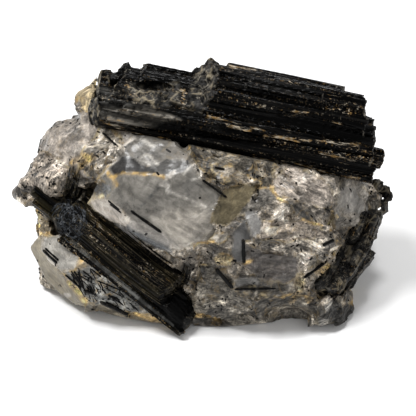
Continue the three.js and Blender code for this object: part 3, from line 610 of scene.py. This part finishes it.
def make_quartz():
    """The skin of the quartz, chipped where it is rough and gently wavy where it is smooth."""
    piece = fine_skin("quartz_skin", "quartz", QUARTZ_SPACING)
    points, normals = corners_of(piece.data)
    fields, ways = quartz_zones(points)
    coarse = Chips(points, width=7, seed=21, slope=0.22, hollow=0.35)
    small = Chips(points, width=2.6, seed=23, slope=0.3, hollow=0.5)
    rough = fields["rough"]
    heights = coarse.heights * ramp(rough, -0.1, 0.6)
    heights += 0.8 * small.heights * ramp(rough, 0.1, 0.7)
    waves = np.sin(0.9 * points[:, 0] + 3 * wander(points, 9, seed=25))
    heights += 0.1 * waves * (1 - rough)
    set_corners(piece.data, grown_to_crystals(points, normals, heights))

    ridges = np.maximum(ramp(-coarse.ridge, -0.3, 0), 0.7 * ramp(-small.ridge, -0.2, 0))
    ways = ways + 0.4 * coarse.way()
    ways /= np.linalg.norm(ways, axis=1)[:, None]
    flow = points - 0.9 * (points * ways).sum(1)[:, None] * ways
    put(piece.data, "tone", chip_tones(fields, coarse, small), "FLOAT_COLOR")
    put(piece.data, "flow", MM * flow, "FLOAT_VECTOR")
    put(piece.data, "edges", ridges * ramp(rough, 0.05, 0.4))
    for field in ("clear", "rough", "flecks", "stain", "rim"):
        put(piece.data, field, fields[field])
    piece.data.materials.append(quartz_material())
    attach(piece, "root")
    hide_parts("quartz")
    return piece


# Tourmaline

def broken_parts(name, points, normals, axis):
    """How far each vertex of a crystal group is broken rather than ridged, from 0 to 1."""
    broken = ramp(np.abs(normals @ axis), 0.45, 0.8)
    if name == "right_tourmaline":
        return np.maximum(broken, RIGHT_BROKEN)
    if name == "lower_tourmaline":
        return LOWER_BROKEN * broken
    spots = sight(points)
    facing = ramp(normals @ TOWARD, -0.1, 0.3)
    for outline in MAIN_BREAKS:
        broken = np.maximum(broken, facing * ramp(inside(spots, outline), -1, 1.5))
    return broken


def lower_looks(points, normals, stretched, smooth, tone, stain):
    """Colour and stain of the lower bundle: brownish, with one side blackened by painted shade and a painted
    highlight along its rod.
    """
    spots = sight(points)
    brownish = ramp(wander(stretched, 2.4, seed=34), -0.2, 0.4)
    tone = blend_in(tone, linear(FIBROUS), 0.8 * brownish)
    # Painted shade: the side under the window's overhang is blackened like the polished stub
    polished_and_shade = np.maximum(smooth, 0.9 * ramp(inside(spots, PAINTED_SHADE_SIDE), -0.8, 0.4))
    tone = blend_in(tone, linear(POLISHED_AND_SHADE), polished_and_shade)
    # Painted highlight: the side of the rod that faces the eye is lightened as though light fell on it
    on_rod = edge_distance(spots, ROD_HIGHLIGHT.points) < ROD_HIGHLIGHT.width
    highlight_share = ramp(normals @ TOWARD, 0, 0.3) * on_rod
    uneven = 0.25 + 0.75 * ramp(wander(points, 3, seed=35), -0.3, 0.3)
    tone = blend_in(tone, linear(ROD_HIGHLIGHT.tone), highlight_share * uneven)
    return tone, stain * (1 - polished_and_shade)


def main_looks(points, normals, stretched, broken, tone, stain):
    """Colour and stain of the main crystals: worn grey faces with frayed edges, and scale along streaks."""
    spots = sight(points)
    facing = ramp(normals @ TOWARD, 0, 0.2)
    fray = np.stack([wander(stretched, 1.3, seed=40, octaves=2), 0.2 * wander(points, 3, seed=42)], 1)
    mottled = ramp(wander(stretched, 0.8, seed=43, octaves=2), -0.35, 0.25)
    mottled *= ramp(wander(points, 1.4, seed=44, octaves=4), -0.45, 0.15)
    scaly = np.zeros(len(points))
    for face in MAIN_FACES:
        share = facing * ramp(inside(spots + 2.5 * fray, face.outline), -1, 1) * (0.15 + 0.85 * mottled)
        tone = blend_in(tone, linear(face.tone), share)
        scaly = np.maximum(scaly, 0.6 * share)
    for line in MAIN_STREAKS:
        gap = edge_distance(spots, line)
        scaly = np.maximum(scaly, ramp(-gap, -1.2, 0))
    stain = blend_in(stain, np.maximum(0.7 * stain, 1.4 * scaly), facing)
    return tone, stain * (1 - 0.6 * broken)


def make_tourmaline(name):
    """The skin of a crystal group, ridged along its crystals and chipped where they are broken."""
    piece = fine_skin(name + "_skin", name, TOURMALINE_SPACING[name])
    points, normals = corners_of(piece.data)
    axis = np.array(CRYSTAL_AXES[name])
    axis /= np.linalg.norm(axis)
    along = points @ axis
    across = points - along[:, None] * axis
    stretched = across + 0.04 * along[:, None] * axis
    broken = broken_parts(name, points, normals, axis)
    smooth = np.zeros(len(points))
    if name == "lower_tourmaline":
        smooth = ramp(inside(sight(points), STUB), -0.3, 0.3)
    chips = Chips(points, width=2.4, seed=32, slope=0.3, hollow=0.4)
    ridges = 0.25 * wander(stretched, width=1.5, seed=31, octaves=2)
    ridges += 0.15 * wander(stretched, width=0.7, seed=36, octaves=1)
    grooves = 0.9 * ramp(-np.abs(wander(stretched, width=3.4, seed=37, octaves=2)), -0.14, 0)
    heights = (ridges - grooves) * (1 - 0.7 * broken)
    heights += 0.6 * chips.heights * broken
    heights *= 1 - 0.8 * smooth
    set_corners(piece.data, points + normals * heights[:, None])

    tone = np.tile(linear(JET), (len(points), 1))
    tone = blend_in(tone, linear(BREAK), broken * ramp(wander(points, 2.4, seed=33), -0.3, 0.5))
    seams = broken * ramp(-chips.ridge, -0.22, -0.05) * ramp(wander(points, 3.2, seed=39), -0.2, 0.2)
    tone = blend_in(tone, linear(SEAM), 0.6 * seams)
    stain = 0.2 + 0.6 * ramp(wander(points, 9, seed=38), -0.1, 0.4)
    if name == "lower_tourmaline":
        tone, stain = lower_looks(points, normals, stretched, smooth, tone, stain)
    if name == "main_tourmaline":
        tone, stain = main_looks(points, normals, stretched, broken, tone, stain)
    put(piece.data, "tone", tone, "FLOAT_COLOR")
    put(piece.data, "broken", broken)
    put(piece.data, "stain", stain)
    piece.data.materials.append(tourmaline_material(name, axis))
    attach(piece, "root")
    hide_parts(name)
    return piece


# Needles, fibres and flakes

def tube(places, ways, radii, sides):
    """Corners and faces of a closed tube, with a way and a radius at each of its places, in millimetres."""
    corners = []
    for place, way, radius in zip(places, ways, radii):
        side = way.orthogonal().normalized()
        other = way.cross(side)
        for k in range(sides):
            turn = 2 * math.pi * k / sides
            corners.append(place + (math.cos(turn) * side + math.sin(turn) * other) * radius)
    faces = [tuple(range(sides - 1, -1, -1)), tuple(range(len(corners) - sides, len(corners)))]
    for ring in range(len(places) - 1):
        for k in range(sides):
            a = ring * sides + k
            b = ring * sides + (k + 1) % sides
            faces.append((a, b, b + sides, a + sides))
    return corners, faces


def prism(start, end, width, sides=6):
    """A slim straight tube with blunt pointed ends."""
    places = [start.lerp(end, share) for share, _ in NEEDLE_RINGS]
    ways = [(end - start).normalized()] * len(places)
    radii = [narrow * width / 2 for _, narrow in NEEDLE_RINGS]
    return tube(places, ways, radii, sides)


def strand(places, width):
    """A thin bent tube through places, narrow at its tips."""
    befores = places[:1] + places[:-1]
    afters = places[1:] + places[-1:]
    ways = [(after - before).normalized() for before, after in zip(befores, afters)]
    tip = 0.4 * width / 2
    radii = [tip] + [width / 2] * (len(places) - 2) + [tip]
    return tube(places, ways, radii, sides=4)


def seen_spot(tree, spot):
    """Where the line of sight through a spot meets the skin, or None."""
    target = Vector(SIGHT_MIDDLE + spot[0] * RIGHT + spot[1] * UP)
    eye = Vector(EYE)
    place, _, _, _ = tree.ray_cast(eye, (target - eye).normalized())
    return place


def joined_mesh(name, forms, material):
    """One object of many small forms, each a pair of corners in millimetres and faces."""
    corners = []
    faces = []
    for new_corners, new_faces in forms:
        faces += [tuple(len(corners) + k for k in face) for face in new_faces]
        corners += [corner * MM for corner in new_corners]
    mesh = bpy.data.meshes.new(name)
    mesh.from_pydata(corners, [], faces)
    mesh.materials.append(material)
    piece = bpy.data.objects.new(name, mesh)
    bpy.context.scene.collection.objects.link(piece)
    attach(piece, "root")


def along_line(points, share):
    """A point at a share of the way along a line through points, by its stretches in turn."""
    place = share * (len(points) - 1)
    i = min(int(place), len(points) - 2)
    return np.array(points[i]) + (place - i) * (np.array(points[i + 1]) - np.array(points[i]))


def lay_fibres(name, routes, trees, rng, tones):
    """One object of fibres that lie on skins along routes of spots across and up."""
    forms = []
    for route in routes:
        width = rng.uniform(0.14, 0.32)
        places = []
        for spot in route:
            hits = [place for place in (seen_spot(tree, spot) for tree in trees) if place is not None]
            if hits:
                nearest = min(hits, key=lambda place: (place - Vector(EYE)).length)
                places.append(nearest + FIBRE_LIFT * Vector(TOWARD))
        steps = [(after - before).length for before, after in zip(places, places[1:])]
        if len(places) > 3 and max(steps) < LONGEST_STEP:
            forms.append(strand(places, width))
    joined_mesh(name, forms, needle_material(name, tones))


def make_fibres(skins):
    """Dark fibres and pale fibres of painted sheen that swirl round the knot, and dark and light fibres that
    run along the bundle.
    """
    trees = [tree_of([skin]) for skin in skins]
    rng = np.random.default_rng(FIBRE_SEED)
    steps = np.linspace(0, 1, FIBRE_SPOTS)
    swirls = []
    for _ in range(KNOT_FIBRES):
        middle = np.array(KNOT) + rng.normal(0, 1, 2)
        start = rng.uniform(0, 2 * math.pi)
        turns = start + rng.uniform(0.4, 1.5) * steps
        size = rng.triangular(0.4, 2.4, 6)
        sizes = size + rng.uniform(-1.8, 2.4) * steps
        swirls.append([middle + size * np.array((KNOT_NARROW * math.cos(turn), math.sin(turn)))
                       for turn, size in zip(turns, sizes)])
    half = len(swirls) // 2
    lay_fibres("knot_fibres", swirls[half:], trees, rng, KNOT_DARK)
    # Painted sheen: the other half of the knot fibres are pale blue-grey
    lay_fibres("knot_sheen_strands", swirls[:half], trees, rng, KNOT_SHEEN)
    rows = []
    for line, count, half_width in FIBRE_ROWS:
        run = np.array(line[-1]) - np.array(line[0])
        side = np.array((-run[1], run[0])) / np.linalg.norm(run)
        for _ in range(count):
            start = rng.uniform(0, 0.7)
            length = rng.uniform(0.15, 0.4)
            shares = np.minimum(start + length * steps, 1)
            offset = rng.uniform(-half_width, half_width)
            rows.append([along_line(line, share) + offset * side for share in shares])
    lay_fibres("bundle_fibres", rows[::2], trees, rng, BUNDLE_DARK)
    lay_fibres("bundle_strands", rows[1::2], trees, rng, BUNDLE_LIGHT)


def make_needles(quartz):
    """Needles in and on the quartz: those seen in front, hidden ones, and those of the needle field."""
    tree = tree_of([quartz])
    points, normals = corners_of(quartz.data)
    needles = []
    for start, end, width in FRONT_NEEDLES:
        ends = [seen_spot(tree, start), seen_spot(tree, end)]
        if None not in ends:
            lift = Vector(TOWARD) * width * 0.2
            needles.append((ends[0] + lift, ends[1] + lift, width))
    rng = np.random.default_rng(NEEDLE_SEED)
    for _ in range(SCATTERED_NEEDLES):
        i = rng.integers(len(points))
        aim = Vector(rng.normal(0, 1, 3))
        length = rng.uniform(1.5, 6)
        width = rng.uniform(0.25, 0.6)
        normal = Vector(normals[i])
        run = (aim - aim.dot(normal) * normal).normalized() * length
        ends = [Vector(points[i]) - run / 2, Vector(points[i]) + run / 2]
        gaps = [tree.find_nearest(end)[3] for end in ends]
        hidden = normal.dot(Vector(TOWARD)) < 0.05
        if points[i][2] > 3 and hidden and max(gaps) < width:
            needles.append((*ends, width))
    field = np.array(ZONES["needle field"].outline)
    enough = len(needles) + FIELD_NEEDLES
    while len(needles) < enough:
        start = rng.uniform(field.min(0), field.max(0))
        turn = rng.choice((-0.65, -1.2)) + rng.normal(0, 0.25)
        length = rng.uniform(2.5, 8)
        end = start + length * np.array((math.cos(turn), math.sin(turn)))
        ends = [seen_spot(tree, start), seen_spot(tree, end)]
        within = inside(np.array([start, end]), field) > 0
        if within.all() and None not in ends:
            width = rng.uniform(0.18, 0.45)
            needles.append((*ends, width))
    forms = [prism(*needle) for needle in needles]
    joined_mesh("needles", forms, needle_material("needles", NEEDLE_TONES))


def make_flakes(quartz):
    """Small angular flakes of tourmaline where the quartz has dark flecks, as one object."""
    points, normals = corners_of(quartz.data)
    chance = np.empty(len(points), np.float32)
    quartz.data.attributes["flecks"].data.foreach_get("value", chance)
    chance = chance * (points[:, 2] > 1.5) * ramp(wander(points, 4, seed=41), -0.1, 0.3)
    rng = np.random.default_rng(FLAKE_SEED)
    forms = []
    for i in rng.choice(len(points), FLAKES, p=chance / chance.sum()):
        normal = Vector(normals[i])
        run = normal.orthogonal().normalized()
        run.rotate(Quaternion(normal, rng.uniform(0, 2 * math.pi)))
        length = rng.uniform(0.3, 1.1)
        width = rng.uniform(0.25, 0.6)
        middle = Vector(points[i]) - 0.05 * normal
        forms.append(prism(middle - run * length / 2, middle + run * length / 2, width, sides=5))
    joined_mesh("flakes", forms, needle_material("flakes", FLAKE_TONES))


# Materials

def colour(tone):
    """An sRGB colour of 0 to 255 as a shader takes it."""
    return (*linear(tone), 1)


class Shader:
    """A material that is worked out from noise and from what the vertices say."""

    def __init__(self, name):
        self.material = bpy.data.materials.new(name)
        self.material.use_nodes = True
        self.tree = self.material.node_tree
        self.surface = self.tree.nodes["Principled BSDF"]
        self.place = self.node("ShaderNodeTexCoord", {}).outputs["Object"]

    def node(self, kind, inputs, **settings):
        """A shader node, with each input set to a value or linked to a socket."""
        made = self.tree.nodes.new(kind)
        for key, value in settings.items():
            setattr(made, key, value)
        for key, value in inputs.items():
            if isinstance(value, bpy.types.NodeSocket):
                self.tree.links.new(value, made.inputs[key])
            else:
                made.inputs[key].default_value = value
        return made

    def link(self, socket, name):
        """Links a socket to an input of the surface."""
        self.tree.links.new(socket, self.surface.inputs[name])

    def said(self, name, output="Fac"):
        """What the vertices say under a name."""
        return self.node("ShaderNodeAttribute", {}, attribute_name=name).outputs[output]

    def mapped(self, place, key, value):
        """A place turned or scaled."""
        return self.node("ShaderNodeMapping", {"Vector": place, key: value}).outputs["Vector"]

    def noise(self, place, scale, detail=4, roughness=0.6, distortion=0):
        """A noise of 0 to 1 with a scale in lumps a metre."""
        inputs = {"Vector": place, "Scale": scale, "Detail": detail, "Roughness": roughness,
                  "Distortion": distortion}
        return self.node("ShaderNodeTexNoise", inputs).outputs["Fac"]

    def spread(self, value, low, high, to_low=0, to_high=1):
        """A value between two limits stretched to two others."""
        inputs = {"Value": value, "From Min": low, "From Max": high, "To Min": to_low, "To Max": to_high}
        return self.node("ShaderNodeMapRange", inputs, clamp=True).outputs["Result"]

    def math(self, operation, *values):
        return self.node("ShaderNodeMath", dict(enumerate(values)), operation=operation).outputs[0]

    def times(self, a, b):
        return self.math("MULTIPLY", a, b)

    def lines(self, place, scale, width, detail=7):
        """1 along wandering thin lines, patchy, and 0 elsewhere."""
        wave = self.noise(place, scale, detail, roughness=0.62, distortion=0.5)
        away = self.math("ABSOLUTE", self.math("SUBTRACT", wave, 0.5))
        patchy = self.spread(self.noise(place, 2.1 * scale), 0.42, 0.6)
        return self.times(self.spread(away, 0, width, 1, 0), patchy)

    def mixed(self, share, a, b, blend="MIX"):
        """Two colours mixed by a share."""
        inputs = {"Factor": share, 6: a, 7: b}
        return self.node("ShaderNodeMix", inputs, data_type="RGBA", blend_type=blend).outputs[2]

    def finish(self, tone, roughness, ior, specular, height=None, strength=0):
        """The material with its colour, its shine and, if there is a height, bumps of half a millimetre."""
        self.link(tone, "Base Color")
        self.link(roughness, "Roughness")
        self.surface.inputs["IOR"].default_value = ior
        self.surface.inputs["Specular IOR Level"].default_value = specular
        if height is not None:
            inputs = {"Height": height, "Strength": strength, "Distance": 0.5 * MM}
            self.link(self.node("ShaderNodeBump", inputs).outputs["Normal"], "Normal")
        return self.material


def quartz_material():
    """Cloudy to clear quartz with streaks, cracks, stains and flecks where its vertices ask for them."""
    look = Shader("quartz")
    place = look.place
    flow = look.said("flow", "Vector")
    rough = look.said("rough")
    stained = look.said("stain")
    tone = look.said("tone", "Color")

    # Cloudy mottling, feathery streaks along each face, and fine crystal grains where it is rough
    cloud = look.noise(place, 160, detail=5, roughness=0.65, distortion=1.5)
    tone = look.mixed(0.45, tone, look.spread(cloud, 0.3, 0.7), "OVERLAY")
    streaks = look.spread(look.noise(flow, 650, roughness=0.62), 0.36, 0.64)
    tone = look.mixed(look.spread(rough, 0, 0.6, 0.25, 0.6), tone, streaks, "OVERLAY")
    grains = look.spread(look.noise(place, 1900, detail=3, roughness=0.7), 0.36, 0.64)
    tone = look.mixed(look.spread(rough, 0.05, 0.6, 0.08, 0.55), tone, grains, "OVERLAY")

    # Chipped ridges, healed cracks, and painted highlight on small chips: specks lightened as if they shone
    # A lighter colour for the pale ridges and cracks, also used for the painted highlight
    bright = look.mixed(1, tone, (2.4, 2.35, 2.25, 1), "MULTIPLY")
    bright = look.mixed(1, bright, (0.09, 0.086, 0.08, 1), "ADD")
    worn = look.times(look.said("edges"), look.spread(look.noise(place, 500), 0.42, 0.6, 0, 0.8))
    veins = look.lines(flow, 420, width=0.06, detail=3)
    veins = look.times(veins, look.spread(rough, 0.05, 0.6, 0.12, 0.7))
    hairs = look.lines(flow, 900, width=0.1, detail=3)
    hairs = look.times(hairs, look.spread(rough, 0.2, 0.6, 0, 0.8))
    # Painted highlight: scattered specks lightened to stand in for shining chips
    painted_glints = look.spread(look.noise(place, 1300, detail=3), 0.64, 0.67)
    painted_glints = look.times(painted_glints, look.spread(rough, 0.1, 0.6, 0, 0.8))
    for share in (worn, veins, hairs, painted_glints):
        tone = look.mixed(share, tone, bright)

    # Dark cracks along the streaks
    cracked = look.spread(rough, 0.1, 0.6, 0, 0.85)
    for scale, width in ((330, 0.05), (760, 0.08)):
        cracks = look.times(look.lines(flow, scale, width, detail=3), cracked)
        tone = look.mixed(cracks, tone, colour(DARK))

    # Yellow iron in thin lines, in spots and along the rims of zones
    iron = look.lines(place, 150, width=0.03)
    spots = look.spread(look.noise(place, 300, detail=8, roughness=0.75), 0.6, 0.66)
    for share in (iron, spots):
        tone = look.mixed(look.times(share, stained), tone, colour(OCHRE))
    kind = look.spread(look.noise(place, 420), 0.45, 0.55)
    rim = look.times(look.said("rim"), look.spread(look.noise(place, 380), 0.46, 0.58))
    tone = look.mixed(rim, tone, look.mixed(kind, colour(OCHRE), colour(TAN)))

    # Dark flecks of tourmaline
    flecks = look.spread(look.noise(place, 700), 0.59, 0.61)
    tone = look.mixed(look.times(flecks, look.said("flecks")), tone, colour(DARK))

    # Clear parts let light through and take a little of it up
    veils = look.spread(look.noise(place, 160), 0.3, 0.6, 0.5, 1)
    look.link(look.times(look.said("clear"), veils), "Transmission Weight")
    volume = look.node("ShaderNodeVolumeAbsorption", {"Color": (0.8, 0.77, 0.7, 1), "Density": 22})
    look.tree.links.new(volume.outputs["Volume"], look.tree.nodes["Material Output"].inputs["Volume"])

    chips = look.node("ShaderNodeTexVoronoi", {"Vector": flow, "Scale": 900}).outputs["Distance"]
    return look.finish(tone, look.spread(rough, 0, 0.9, 0.22, 0.34), ior=1.544, specular=0.13,
                       height=chips, strength=look.spread(rough, 0, 0.8, 0.03, 0.6))


def tourmaline_material(name, axis):
    """Black tourmaline with fine lines along an axis, scale in rows along them, and dusty breaks."""
    look = Shader(name)
    place = look.place
    turn = Vector(axis).to_track_quat("Z", "Y").inverted().to_euler()
    turned = look.mapped(place, "Rotation", turn)
    lengthwise = look.mapped(turned, "Scale", (1, 1, 0.03))
    broken = look.said("broken")
    stained = look.said("stain")
    tone = look.said("tone", "Color")

    # Fine lines along the crystals
    ridges = look.noise(lengthwise, 1300, detail=3)
    lines = look.times(look.spread(ridges, 0.52, 0.74), look.spread(stained, 0, 0.2, 0.2, 0.9))
    tone = look.mixed(lines, tone, colour(DARK))

    # Pale and yellow scale, in flakes and in broken rows of specks along the crystals
    kind = look.spread(look.noise(place, 700), 0.42, 0.58)
    scale_tone = look.mixed(kind, colour(YELLOW_SCALE), colour(PALE_SCALE))
    flakes = look.noise(look.mapped(turned, "Scale", (1, 1, 0.1)), 2300, detail=7, roughness=0.75)
    flakes = look.spread(look.math("MULTIPLY_ADD", stained, 0.15, flakes), 0.69, 0.75)
    tone = look.mixed(look.times(flakes, 0.8), tone, scale_tone)
    rows = look.spread(look.noise(lengthwise, 560, detail=2), 0.5, 0.62)
    specks = look.spread(look.noise(place, 1500, roughness=0.7), 0.56, 0.64)
    specks = look.times(look.times(rows, specks), look.spread(stained, 0, 0.5))
    tone = look.mixed(specks, tone, scale_tone)

    # Dust and veins on the breaks
    dust = look.spread(look.noise(place, 500, detail=6, roughness=0.7), 0.5, 0.66)
    tone = look.mixed(look.times(look.times(dust, broken), 0.35), tone, colour(DUST))
    veins = look.times(look.lines(place, 200, width=0.025), broken)
    tone = look.mixed(look.times(veins, 0.5), tone, colour(VEIN))

    grains = look.noise(place, 1400, roughness=0.7)
    relief = look.node("ShaderNodeMix", {"Factor": broken, 2: ridges, 3: grains}).outputs[0]
    return look.finish(tone, look.spread(broken, 0, 1, 0.15, 0.4), ior=1.63, specular=0.04,
                       height=relief, strength=0.55)


def needle_material(name, tones):
    """Tourmaline of small pieces, between a fresh and a dull colour."""
    look = Shader(name)
    fresh, dull = tones
    worn = look.spread(look.noise(look.place, 700), 0.55, 0.75)
    tone = look.mixed(worn, colour(fresh), colour(dull))
    return look.finish(tone, look.spread(worn, 0, 1, 0.25, 0.5), ior=1.63, specular=0.06)


# Stage, light and camera

def make_stage():
    """A pale floor, and light from all round."""
    bpy.ops.mesh.primitive_plane_add(size=4, location=(0, 0, -0.05 * MM))
    floor = bpy.context.object
    floor.name = "floor"
    material = bpy.data.materials.new("floor")
    material.use_nodes = True
    surface = material.node_tree.nodes["Principled BSDF"]
    surface.inputs["Base Color"].default_value = (0.92, 0.92, 0.92, 1)
    surface.inputs["Roughness"].default_value = 0.8
    floor.data.materials.append(material)
    world = bpy.data.worlds.new("studio")
    world.use_nodes = True
    background = world.node_tree.nodes["Background"]
    background.inputs["Color"].default_value = (1, 1, 1, 1)
    background.inputs["Strength"].default_value = 0.42
    bpy.context.scene.world = world


def make_light(name, place, size, power):
    """A round lamp that shines on the lump."""
    lamp = bpy.data.lights.new(name, "AREA")
    lamp.shape = "DISK"
    lamp.size = size
    lamp.energy = power
    light = bpy.data.objects.new(name, lamp)
    light.location = place
    light.rotation_euler = (Vector((0, 0, 0.025)) - Vector(place)).to_track_quat("-Z", "Y").to_euler()
    bpy.context.scene.collection.objects.link(light)


def make_camera():
    """The camera that sees the front along the line of sight."""
    camera = bpy.data.objects.new("camera", bpy.data.cameras.new("camera"))
    camera.data.lens = 100
    camera.data.sensor_width = 36
    camera.data.clip_start = 0.01
    camera.location = Vector(EYE * MM)
    camera.rotation_euler = (math.pi / 2 - SIGHT_DROP, 0, 0)
    bpy.context.scene.collection.objects.link(camera)
    bpy.context.scene.camera = camera


quartz = make_quartz()
crystals = {name: make_tourmaline(name) for name in CRYSTAL_AXES}
make_needles(quartz)
make_fibres([quartz, crystals["lower_tourmaline"]])
make_flakes(quartz)
make_stage()
make_light("key", (-0.25, 0.05, 0.54), size=0.22, power=3.4)
make_light("top", (0.07, 0.12, 0.5), size=0.1, power=1)
make_light("fill", (0.4, -0.35, 0.3), size=0.4, power=0.3)
make_camera()
bpy.context.scene.view_settings.view_transform = "Standard"
